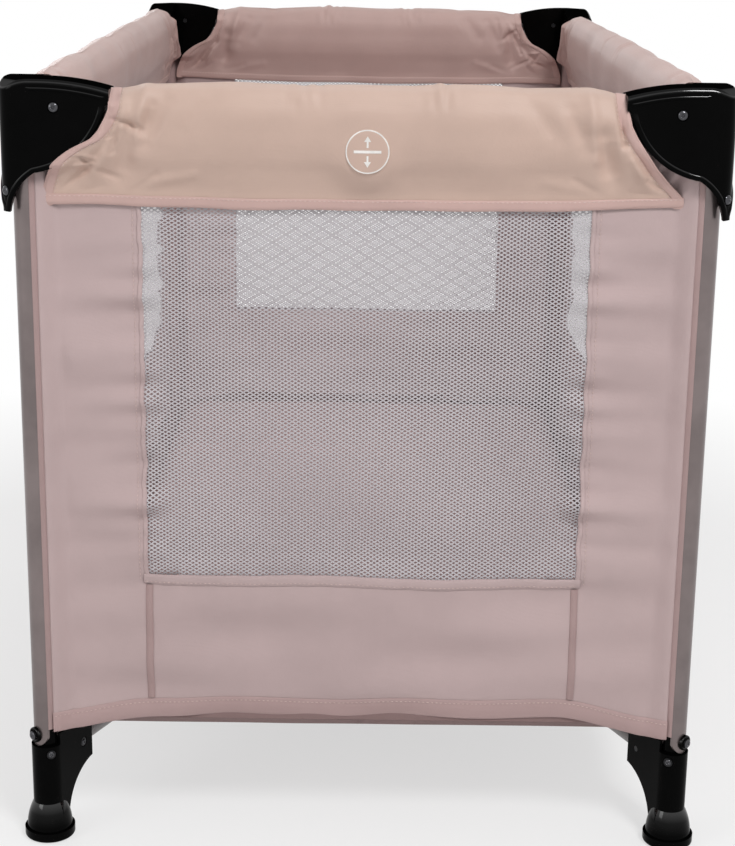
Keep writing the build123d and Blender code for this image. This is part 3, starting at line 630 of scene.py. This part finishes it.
def coverPoint(side, a, s):
    # s runs from the outer hem (0) over the crest (1) to the inner hem (2)
    t = np.where(s <= 1, s, 2 - s)
    way = np.where(s <= 1, 1.0, -1.0)
    o = curve(t, outlineT, outlineO)
    z = curve(t, outlineT, outlineZ)
    half, seed = sides[side]["half"], ord(side[0]) * 3
    u = half - np.abs(a)
    body = ease(t, 0.05, 0.3)
    near = np.clip(u - endEdge(z, (a > 0) & (s <= 1)), 0, 1)
    # the end rides up over the bracket
    flap = (np.exp(-(near / 0.014) ** 2) * ease(z, 0.668, 0.680) * (1 - ease(z, 0.737, 0.748))
            * ((a < 0) | (s > 1)))
    o = o + flap * np.maximum(cover["lapOut"] - o, 0)
    # flat round the press mark
    fromMark = np.hypot(a, z - badge["z"])
    o = o + (cover["markOut"] - o) * np.exp(-(fromMark / 0.031) ** 4) * (s <= 1)
    calm = 1 - np.exp(-(fromMark / 0.036) ** 4) * (s <= 1)
    folds = np.where(a < 0, creased(u, z, seed + 1, creases + leftCreases), creased(u, z, seed + 2, creases))
    folds = folds * body * (1 - 0.35 * flap)
    lockEnd = (np.exp(-((np.abs(a) - 0.060) / 0.016) ** 2)) * ease(t, 0.72, 0.95)
    pinch = padding["pinch"] * lockEnd * ripple(a, z * 0.25, seed + 3, 0.012)
    soft = padding["soft"] * body * ripple(a, (z + o * way) * 0.9, seed + 4, 0.085, 1.6)
    sag = padding["sag"] * body * ripple(a, z * 0, seed + 6, 0.17)
    waveSize = 0.075 if half < 0.5 else 0.24   # longer waves along the long sides
    inner = (s > 1) * padding["inner"] * body * ripple(a, z * 0.25, seed + 8, waveSize)
    swell = folds + (pinch + soft + sag) * calm * ease(near, 0.0, 0.02) + inner * ease(near, 0.0, 0.02)
    o = (o + swell * (1 - ease(t, 0.8, 1.0) * 0.6)) * way
    z = z + swell * ease(t, 0.7, 1.0) * 0.7
    z = z - cover["endDip"] * np.exp(-(near / 0.024) ** 2) * ease(t, 0.6, 0.95)
    # the hem hangs lower in the middle than at the posts
    hemRise = np.where(a > 0, cover["hemRight"], cover["hemLeft"])
    z = z + (1 - ease(t, 0.0, 0.30)) * (hemRise * (a / half) ** 2 - cover["hemLow"])
    hem = 1 - ease(t, 0.0, 0.16)
    z = z + hem * padding["hemZ"] * ripple(a, a * 0, seed + 10, 0.14)
    o = o + hem * padding["hemOut"] * ripple(a, a * 0, seed + 12, 0.1)
    return place(side, a, o, z)


def coverFold(piece, body):
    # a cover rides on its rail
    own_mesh(piece)
    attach(piece, body)


def coverTrim(name, body, points, faces, material, smooth=True):
    piece = addPiece(name, points, faces, material, smooth)
    coverFold(piece, body)


# cross sections of the cover's end and of its hem, as for the walls
edgeRows = np.array([0.0, 0.0006, 0.003, 0.007, 0.0086, 0.0092])
edgeLift = np.array([0.0004, 0.0011, 0.0013, 0.0012, 0.0008, 0.0001])
bandRows = np.array([0.0, 0.004, 0.03, 0.055, 0.074, 0.078])
bandLift = np.array([0.0003, 0.0010, 0.0013, 0.0013, 0.0010, 0.0002])
for side, s in sides.items():
    half = s["half"]
    for which, name in ((-1, s["halves"][0]), (1, s["halves"][1])):
        ending = "_%s_%s" % (side, name)
        body = "rail" + ending
        sLine = np.linspace(0, 2, 161)
        zLine = curve(np.where(sLine <= 1, sLine, 2 - sLine), outlineT, outlineZ)
        count = int(half / 0.0022)
        run = np.linspace(0, 1, count) ** 1.25
        start = endEdge(zLine, (which > 0) & (sLine <= 1))
        start = np.convolve(np.pad(start, 2, mode="edge"), [0.1, 0.2, 0.4, 0.2, 0.1], mode="valid")
        u = start[:, None] + (half - start[:, None]) * run[None]
        a = which * (half - u)
        pts = coverPoint(side, a, sLine[:, None] + 0 * a)
        faces = gridFaces(len(sLine), count)
        # the button's hole
        middle = pts.reshape(-1, 3)[faces].mean(1)
        aMid = middle[:, 0] * s["along"][0] + middle[:, 1] * s["along"][1]
        oMid = middle[:, 0] * s["out"][0] + middle[:, 1] * s["out"][1] - s["dist"]
        hole = (np.hypot(aMid, middle[:, 2] - badge["z"]) < badge["radius"] - 0.002) & (oMid > 0)
        if which == 1:
            faces = faces[:, ::-1]
        sleeve = addPiece("sleeve" + ending, pts, faces[~hole],
                          coverCloth if side == "front" else sideCoverCloth)
        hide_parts("cover_%s_%s" % (side, name))
        coverFold(sleeve, body)

        # turned edge round the end, with a cord at its rim
        inward = np.array([s["along"][0], s["along"][1], 0.0]) * -which
        middleLine = place(side, which * (half - start), 0, np.clip(zLine, 0.66, 0.735))
        uE = start[None] + edgeRows[:, None]
        pE = coverPoint(side, which * (half - uE), sLine[None] + 0 * uE)
        away = pE[2] - middleLine
        away -= inward * (away @ inward)[:, None]
        away /= np.linalg.norm(away, axis=1)[:, None] + 1e-9
        turned = [(pE + away[None] * edgeLift[:, None, None], gridFaces(len(edgeRows), len(sLine))),
                  cordMesh(pE[0] + away * 0.0004, cover["edgeCord"])]
        coverTrim("cover_edge" + ending, body, *joinMeshes(turned), hemCloth)

        # hem band with stitching along the bottom
        bands, lines = [], []
        aB = which * (half - (start[0] + (half - start[0]) * np.linspace(0, 1, count)))
        for face in (1, -1):
            sB = bandRows if face == 1 else 2 - bandRows
            pB = coverPoint(side, aB[None] + 0 * sB[:, None], sB[:, None] + 0 * aB[None])
            outward = outwardOf(side) * face
            bands.append((pB + outward * bandLift[:, None, None], gridFaces(len(sB), count)))
            stitchRow = cover["hemStitch"] if face == 1 else 2 - cover["hemStitch"]
            pS = coverPoint(side, aB, np.full(count, stitchRow))
            lines.append(stitchMesh(pS + outward * 0.0014, np.tile(outward, (count, 1))))
        pS = coverPoint(side, which * (half - start - 0.0105), sLine)
        lines.append(stitchMesh(pS + away * 0.0003, away))
        coverTrim("cover_hem" + ending, body, *joinMeshes(bands), hemCloth)
        coverTrim("cover_stitching" + ending, body, *joinMeshes(lines), threadCloth, smooth=False)
print("covers made")

# round press mark on each lock: a cloth cap with a printed ring, two arrows and a plain bar
mark = dict(
    rings=np.array([0.0, 0.004, 0.008, 0.012, 0.016, 0.0190, 0.0203, 0.0208, 0.0210]),
    dome=np.array([0.0222, 0.0222, 0.0221, 0.0220, 0.0219, 0.0217, 0.0213, 0.0205, 0.0150]),
    printR=np.array([0.0186, 0.0187, 0.0198, 0.0199]),
    printOut=np.array([0.0216, 0.0220, 0.0219, 0.0213]),
    arrow=np.array([(-0.0009, 0.0036), (0.0009, 0.0036), (0.0009, 0.0090), (0.0032, 0.0090), (0.0, 0.0142),
                    (-0.0032, 0.0090), (-0.0009, 0.0090)]),
    arrowOut=0.0224,
    bar=np.array([(-0.0125, -0.0013), (0.0125, -0.0013), (0.0125, 0.0013), (-0.0125, 0.0013)]),
    barOut=0.02245,
    around=72,
)


def markDisc(side, radii, out):
    turn = np.linspace(0, 2 * math.pi, mark["around"], endpoint=False)
    points = place(side, radii[:, None] * np.cos(turn), out[:, None],
                   badge["z"] + radii[:, None] * np.sin(turn))
    return points, gridFaces(len(radii), len(turn), wrap=True)


for side in sides:
    cap = addPiece("press_cap_" + side, *markDisc(side, mark["rings"], mark["dome"]), coverCloth)
    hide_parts("button_" + side)
    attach(cap, "button_" + side)
    prints = [markDisc(side, mark["printR"], mark["printOut"])]
    arrow, bar = mark["arrow"], mark["bar"]
    for way in (1, -1):
        faces = [[0, 1, 2, 6], [5, 3, 4]]
        if way < 0:
            faces = [f[::-1] for f in faces]
        prints.append((place(side, arrow[:, 0], mark["arrowOut"], badge["z"] + way * arrow[:, 1]), faces))
    prints.append((place(side, bar[:, 0], mark["barOut"], badge["z"] + bar[:, 1]), [[0, 1, 2, 3]]))
    printed = addPiece("press_mark_" + side, *joinMeshes(prints), whitePrint, smooth=False)
    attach(printed, "button_" + side)
print("press marks made")

# mattress in four soft panels
mat = dict(halfX=0.2865, halfY=0.5830, low=0.1152, high=0.1405, corner=0.045, panels=4, wall=0.008,
           channel=0.011, channelWide=0.012, crownRun=0.016, piping=0.0022, foldZ=0.73)
nx, ny = 61, 241
gx = np.linspace(-1, 1, nx)
gy = np.linspace(-1, 1, ny)
gx, gy = np.sign(gx) * np.abs(gx) ** 0.85, np.sign(gy) * np.abs(gy) ** 0.97


def pastCorner(px, py):
    # how far a point lies past the start of the rounded corner
    return np.abs(px) - (mat["halfX"] - mat["corner"]), np.abs(py) - (mat["halfY"] - mat["corner"])


def roundedEdge(px, py):
    # pulls the sheet's corners round
    qx, qy = pastCorner(px, py)
    r = np.hypot(np.maximum(qx, 0), np.maximum(qy, 0))
    fix = np.where((qx > 0) & (qy > 0), np.maximum(qx, qy) / np.maximum(r, 1e-9), 1.0)
    return (np.sign(px) * np.where(qx > 0, mat["halfX"] - mat["corner"] + qx * fix, np.abs(px)),
            np.sign(py) * np.where(qy > 0, mat["halfY"] - mat["corner"] + qy * fix, np.abs(py)))


px, py = roundedEdge(*np.meshgrid(gx * mat["halfX"], gy * mat["halfY"]))
qx, qy = pastCorner(px, py)
edge = np.where((qx > 0) & (qy > 0), mat["corner"] - np.hypot(qx, qy),
                np.minimum(mat["halfX"] - np.abs(px), mat["halfY"] - np.abs(py)))
panelY = (py / mat["halfY"] + 1) / 2 * mat["panels"]
inPanel = np.abs(panelY - np.round(panelY)) * 2 * mat["halfY"] / mat["panels"]
inner = np.round(panelY)
channel = np.where((inner > 0) & (inner < mat["panels"]), np.exp(-(inPanel / mat["channelWide"]) ** 2), 0)
crown = 1 - np.exp(-np.clip(edge, 0, 1) / mat["crownRun"])
top = (mat["low"] + mat["wall"] + (mat["high"] - mat["low"] - mat["wall"]) * crown
       - mat["channel"] * channel * (0.15 + 0.85 * crown) + 0.0011 * crown * ripple(px, py, 5, 0.11))
under = mat["low"] + 0.0055 * (1 - np.clip(edge / 0.012, 0, 1)) ** 2
ptsTop, ptsLow = np.stack([px, py, top], -1), np.stack([px, py, under], -1)
facesTop = gridFaces(ny, nx)
facesLow = gridFaces(ny, nx, start=nx * ny)[:, ::-1]
rim = np.concatenate([np.arange(nx), np.arange(1, ny) * nx + nx - 1,
                      (ny - 1) * nx + np.arange(nx - 2, -1, -1), np.arange(ny - 2, 0, -1) * nx])
nextRim = np.roll(rim, -1)
rimFaces = np.stack([rim + nx * ny, nextRim + nx * ny, nextRim, rim], -1)
pad = addPiece("mattress_pad", np.concatenate([ptsTop.reshape(-1, 3), ptsLow.reshape(-1, 3)]),
               np.concatenate([facesTop, facesLow, rimFaces]), mattressCloth)
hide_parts("mattress")
edgePath = ptsTop.reshape(-1, 3)[rim] + np.array([0, 0, -0.001])
edgeCord, edgeFaces = cordMesh(edgePath, mat["piping"], around=8, closed=True)
last = len(edgePath) - 1
close = [[last * 8 + k, last * 8 + (k + 1) % 8, (k + 1) % 8, k] for k in range(8)]
padPiping = addPiece("mattress_piping", edgeCord, np.concatenate([edgeFaces, close]), seamAndShadeCloth)
for piece in (pad, padPiping):
    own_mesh(piece)
    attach(piece, "mattress")
print("mattress made")

# floor sheet in quarters, each riding on its base tube
floor = dict(halfX=0.3075, halfY=0.6055, z=0.1133, wave=0.0006, rimUp=0.0130, rimWide=0.020, thick=0.0012)
for corner, (sx, sy) in corners.items():
    colsN, rowsN = 45, 80
    fx, fy = np.meshgrid(floor["halfX"] * np.sin(np.linspace(0, 0.5 * math.pi, colsN)),
                         floor["halfY"] * np.sin(np.linspace(0, 0.5 * math.pi, rowsN)))
    rim = np.minimum(floor["halfX"] - fx, floor["halfY"] - fy)
    # the rim turns up beside the mattress to meet the wall
    fz = (floor["z"] + floor["wave"] * ripple(fx * sx, fy * sy, 31, 0.13) * ease(rim, 0.0, 0.05)
          + floor["rimUp"] * (1 - ease(rim, 0.0, floor["rimWide"])))
    faces = gridFaces(rowsN, colsN)
    if sx * sy < 0:
        faces = faces[:, ::-1]
    sheet = addPiece("floor_sheet_" + corner, np.stack([fx * sx, fy * sy, fz], -1), faces, floorCloth)
    if corner == "front_left":
        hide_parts("floor_sheet")
    thick = sheet.modifiers.new("cloth", "SOLIDIFY")
    thick.thickness, thick.offset = floor["thick"], 0
    across = (tubeY * sx, -tubeX * sy, 0)
    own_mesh(sheet)
    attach(sheet, "base_tube_" + corner)
print("floor made")

# moulded beads on the brackets' outer faces: one rolls the lower edge, one runs below the top
bead = dict(face=0.0210, cornerR=0.0160, lowWide=0.0027, lowProud=0.0015, topWide=0.0017, topProud=0.0010,
            topDrop=0.0090)
# the bracket's outline, as distance from the post and height: wing end, shoulder and tip, and its crowned top
bracket = dict(wing=(0.077, 0.733), shoulder=(0.011, 0.671), tip=(-0.012, 0.635), wingBow=-0.014, tipBow=0.005,
               top=0.755, crownDrop=0.009, crownFrom=0.016, crownRun=0.064, topEnds=(0.0775, 0.004))


def bowed(start, end, bulge, count):
    # a shallow bow from start to end, swelling to the right of its way
    start, end = np.array(start), np.array(end)
    t = np.linspace(0, 1, count)[:, None]
    run = end - start
    right = np.array([run[1], -run[0]]) / np.linalg.norm(run)
    return start + run * t + right * bulge * 4 * t * (1 - t)


def headings(line):
    ahead = np.gradient(line, axis=0)
    return ahead / np.linalg.norm(ahead, axis=1)[:, None]


def beadMesh(side, way, line, wide, proud):
    # line holds the distance from the post and the height of the bead's middle
    ahead = headings(line)
    across = np.stack([-ahead[:, 1], ahead[:, 0]], -1)
    step = np.linspace(0, 1, len(line))
    full = ease(step, 0.0, 0.08) * (1 - ease(step, 0.92, 1.0))
    turn = np.linspace(0, math.pi, 13)[:, None]
    u = line[None, :, 0] + across[None, :, 0] * wide * np.cos(turn)
    z = line[None, :, 1] + across[None, :, 1] * wide * np.cos(turn)
    # round the bracket's outer corner
    past = np.clip(bead["cornerR"] - bead["face"] - u, 0, bead["cornerR"])
    face = bead["face"] - bead["cornerR"] + np.sqrt(bead["cornerR"] ** 2 - past**2)
    o = face - 0.0001 + proud * full[None] * np.sin(turn)
    points = place(side, way * (sides[side]["half"] - u), o, z)
    faces = gridFaces(len(turn), len(line))
    return points, faces if way > 0 else faces[:, ::-1]


lower = np.concatenate([bowed(bracket["wing"], bracket["shoulder"], bracket["wingBow"], 46),
                        bowed(bracket["shoulder"], bracket["tip"], bracket["tipBow"], 24)[1:]])
ahead = headings(lower)
lower = lower + np.stack([ahead[:, 1], -ahead[:, 0]], -1) * bead["lowWide"]
u = np.linspace(*bracket["topEnds"], 50)
crowned = (np.clip(u - bracket["crownFrom"], 0, 1) / bracket["crownRun"]) ** 2
upper = np.stack([u, bracket["top"] - bracket["crownDrop"] * crowned - bead["topDrop"]], -1)
cornerBeads = {}
for side, s in sides.items():
    for way, name in ((-1, s["halves"][0]), (1, s["halves"][1])):
        corner = side + "_" + name if side in ("front", "back") else name + "_" + side
        cornerBeads.setdefault(corner, []).extend([
            beadMesh(side, way, lower, bead["lowWide"], bead["lowProud"]),
            beadMesh(side, way, upper, bead["topWide"], bead["topProud"])])
for corner, parts in cornerBeads.items():
    beads = addPiece("bracket_beads_" + corner, *joinMeshes(parts), blackPlastic)
    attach(beads, "corner_" + corner)
print("bracket beads made")

# screw heads with a cross recess, and the black washers at the feet
heads = dict(radius=0.0044, small=0.0030, rise=0.0019, recess=0.0010, armWide=(0.00035, 0.0007),
             armLong=(0.42, 0.54), turnCos=0.87, turnSin=0.5)
# places of the screws, from the post's axis and the floor
screwAt = dict(railReach=0.030, railOut=0.0206, railZ=0.730, postOut=0.02267, postZ=0.654, washerOut=0.0170,
               washerZ=0.112, footOut=0.0151, footZ=0.092, baseReach=0.042, baseZ=0.085)
washerR = np.array([0.0077, 0.0079, 0.0078, 0.0070, 0.0052, 0.0047])[:, None]
washerO = np.array([0.0124, 0.0140, 0.0150, 0.0156, 0.0158, 0.0148])[:, None]
ring = np.linspace(0, 1, 13)[:, None]
angle = np.linspace(0, 2 * math.pi, 48, endpoint=False)[None]


def facingDisc(middle, way, across, up, out):
    # points of a disc that faces the way given
    right = np.cross(upward, way)
    return middle + right * across[..., None] + upward * up[..., None] + way * out[..., None]


def screwTop(middle, way, size):
    hx, hz = ring * np.cos(angle) * size, ring * np.sin(angle) * size
    rise = heads["rise"] * size / heads["radius"] * np.sqrt(np.clip(1.04 - ring**2, 0, 1)) + 0 * angle
    turnX = hx * heads["turnCos"] + hz * heads["turnSin"]
    turnZ = hz * heads["turnCos"] - hx * heads["turnSin"]
    armStart, armEnd = heads["armLong"][0] * size, heads["armLong"][1] * size
    armA = (1 - ease(np.abs(turnX), *heads["armWide"])) * (1 - ease(np.abs(turnZ), armStart, armEnd))
    armB = (1 - ease(np.abs(turnZ), *heads["armWide"])) * (1 - ease(np.abs(turnX), armStart, armEnd))
    rise = rise - heads["recess"] * np.maximum(armA, armB)
    return facingDisc(middle, way, hx, hz, rise), gridFaces(len(ring), angle.size, wrap=True)


for corner, (sx, sy) in corners.items():
    at = screwAt
    post = np.array([sx * postX, sy * postY, 0.0])
    diagonal = np.array([sx, sy, 0.0]) / math.sqrt(2)
    along = np.array([-sx * tubeX, -sy * tubeY, 0.0])
    across = np.cross(along, upward)
    aside = np.array([along[0], -along[1], 0.0])
    spots = [
        (post + [-sx * at["railReach"], sy * at["railOut"], at["railZ"]], [0, sy, 0], heads["radius"]),
        (post + [sx * at["railOut"], -sy * at["railReach"], at["railZ"]], [sx, 0, 0], heads["radius"]),
        (post + diagonal * at["postOut"] + [0, 0, at["postZ"]], diagonal, heads["radius"]),
        (post + diagonal * at["washerOut"] + [0, 0, at["washerZ"]], diagonal, heads["radius"]),
        (post + aside * at["footOut"] + [0, 0, at["footZ"]], aside, heads["small"]),
        (post + along * at["baseReach"] + across * at["footOut"] + [0, 0, at["baseZ"]], across, heads["small"]),
    ]
    tops = [screwTop(middle, np.array(way, float), size) for middle, way, size in spots]
    screwTops = addPiece("screw_tops_" + corner, *joinMeshes(tops), brightSteel)
    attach(screwTops, "corner_" + corner)
    points = facingDisc(post + [0, 0, at["washerZ"]], diagonal, washerR * np.cos(angle),
                        washerR * np.sin(angle), washerO + 0 * angle)
    faces = gridFaces(len(washerR), angle.size, wrap=True)
    washer = addPiece("washer_cap_" + corner, points, faces, blackPlastic)
    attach(washer, "corner_" + corner)
print("screw heads made")

# camera, from the photograph's perspective: angles in degrees, focal length and width in pixels
shot = dict(yaw=0.106, pitch=15.805, roll=0.762, focal=1851.8, wide=735, sensor=36,
            at=(0.0001, -2.3007, 0.9131))
yaw, pitch, roll = [math.radians(shot[key]) for key in ("yaw", "pitch", "roll")]
ahead = Vector((math.sin(yaw) * math.cos(pitch), math.cos(yaw) * math.cos(pitch), -math.sin(pitch)))
rightDir = Vector((math.cos(yaw), -math.sin(yaw), 0))
upDir = rightDir.cross(ahead)
rightTurned = rightDir * math.cos(roll) + upDir * math.sin(roll)
upTurned = -rightDir * math.sin(roll) + upDir * math.cos(roll)
lens = bpy.data.cameras.new("camera")
lens.sensor_fit, lens.sensor_width = "HORIZONTAL", shot["sensor"]
lens.lens = shot["focal"] * shot["sensor"] / shot["wide"]
camera = bpy.data.objects.new("camera", lens)
bpy.context.scene.collection.objects.link(camera)
camera.matrix_world = Matrix([(rightTurned[k], upTurned[k], -ahead[k], shot["at"][k]) for k in range(3)]
                             + [(0, 0, 0, 1)])
bpy.context.scene.camera = camera

# pale floor and soft studio light
studio = dict(half=12, floorZ=-0.0005, fade={"From Min": 0.7, "From Max": 1.3, "To Min": 0.62}, fill=0.34,
              aim=(0, 0, 0.4))
lamps = dict(key=dict(at=(0.95, -2.25, 2.5), size=0.7, power=40),
             side=dict(at=(-2.2, -2.1, 1.3), size=1.2, power=12),
             top=dict(at=(0.1, 0.4, 2.9), size=2.0, power=9),
             back=dict(at=(-1.6, 2.9, 1.5), size=1.6, power=16))


def seenBy(tree):
    # rays that look at the background: straight, mirrored or through glass
    rays = addNode(tree, "ShaderNodeLightPath")
    either = mathNode(tree, "MAXIMUM", rays.outputs["Is Camera Ray"], rays.outputs["Is Glossy Ray"])
    return mathNode(tree, "MAXIMUM", either, rays.outputs["Is Transmission Ray"])


floorMaterial, tree, shader = newMaterial("studio floor")
mottle = addNode(tree, "ShaderNodeTexNoise", Scale=3.0, Detail=3.0)
rampInto(shader.inputs["Base Color"], tree, mottle.outputs["Fac"], [(0.3, grey(0.94)), (0.7, grey(0.95))])
shader.inputs["Roughness"].default_value = 0.9
shader.inputs["Specular IOR Level"].default_value = 0.1
# away from the cot the floor runs out into the white background
where = addNode(tree, "ShaderNodeTexCoord")
reach = addNode(tree, "ShaderNodeVectorMath", operation="LENGTH")
tree.links.new(where.outputs["Object"], reach.inputs[0])
fade = addNode(tree, "ShaderNodeMapRange", **studio["fade"])
tree.links.new(reach.outputs["Value"], fade.inputs["Value"])
bright = addNode(tree, "ShaderNodeEmission")
blendFloor = addNode(tree, "ShaderNodeMixShader")
tree.links.new(mathNode(tree, "MULTIPLY", fade.outputs["Result"], seenBy(tree)), blendFloor.inputs["Fac"])
tree.links.new(shader.outputs["BSDF"], blendFloor.inputs[1])
tree.links.new(bright.outputs["Emission"], blendFloor.inputs[2])
tree.links.new(blendFloor.outputs["Shader"], tree.nodes["Material Output"].inputs["Surface"])
groundPoints = [(sx * studio["half"], sy * studio["half"], studio["floorZ"]) for sx, sy in corners.values()]
ground = addPiece("studio_floor", groundPoints, [[0, 1, 2, 3]], floorMaterial, smooth=False)
world = bpy.data.worlds.new("studio")
bpy.context.scene.world = world
world.use_nodes = True
sky = world.node_tree
fill = sky.nodes["Background"]
fill.inputs["Color"].default_value = (1, 1, 1, 1)
fill.inputs["Strength"].default_value = studio["fill"]
plain = sky.nodes.new("ShaderNodeBackground")
plain.inputs["Color"].default_value = (1, 1, 1, 1)
plain.inputs["Strength"].default_value = 1.0
mix = sky.nodes.new("ShaderNodeMixShader")
sky.links.new(seenBy(sky), mix.inputs["Fac"])
sky.links.new(fill.outputs["Background"], mix.inputs[1])
sky.links.new(plain.outputs["Background"], mix.inputs[2])
sky.links.new(mix.outputs["Shader"], sky.nodes["World Output"].inputs["Surface"])
for lampName, lamp in lamps.items():
    light = bpy.data.lights.new(lampName, "AREA")
    light.energy, light.size = lamp["power"], lamp["size"]
    holder = bpy.data.objects.new(lampName, light)
    bpy.context.scene.collection.objects.link(holder)
    holder.location = lamp["at"]
    holder.rotation_euler = (Vector(studio["aim"]) - Vector(lamp["at"])).to_track_quat("-Z", "Y").to_euler()
bpy.context.scene.view_settings.view_transform = "Standard"
print("studio ready")
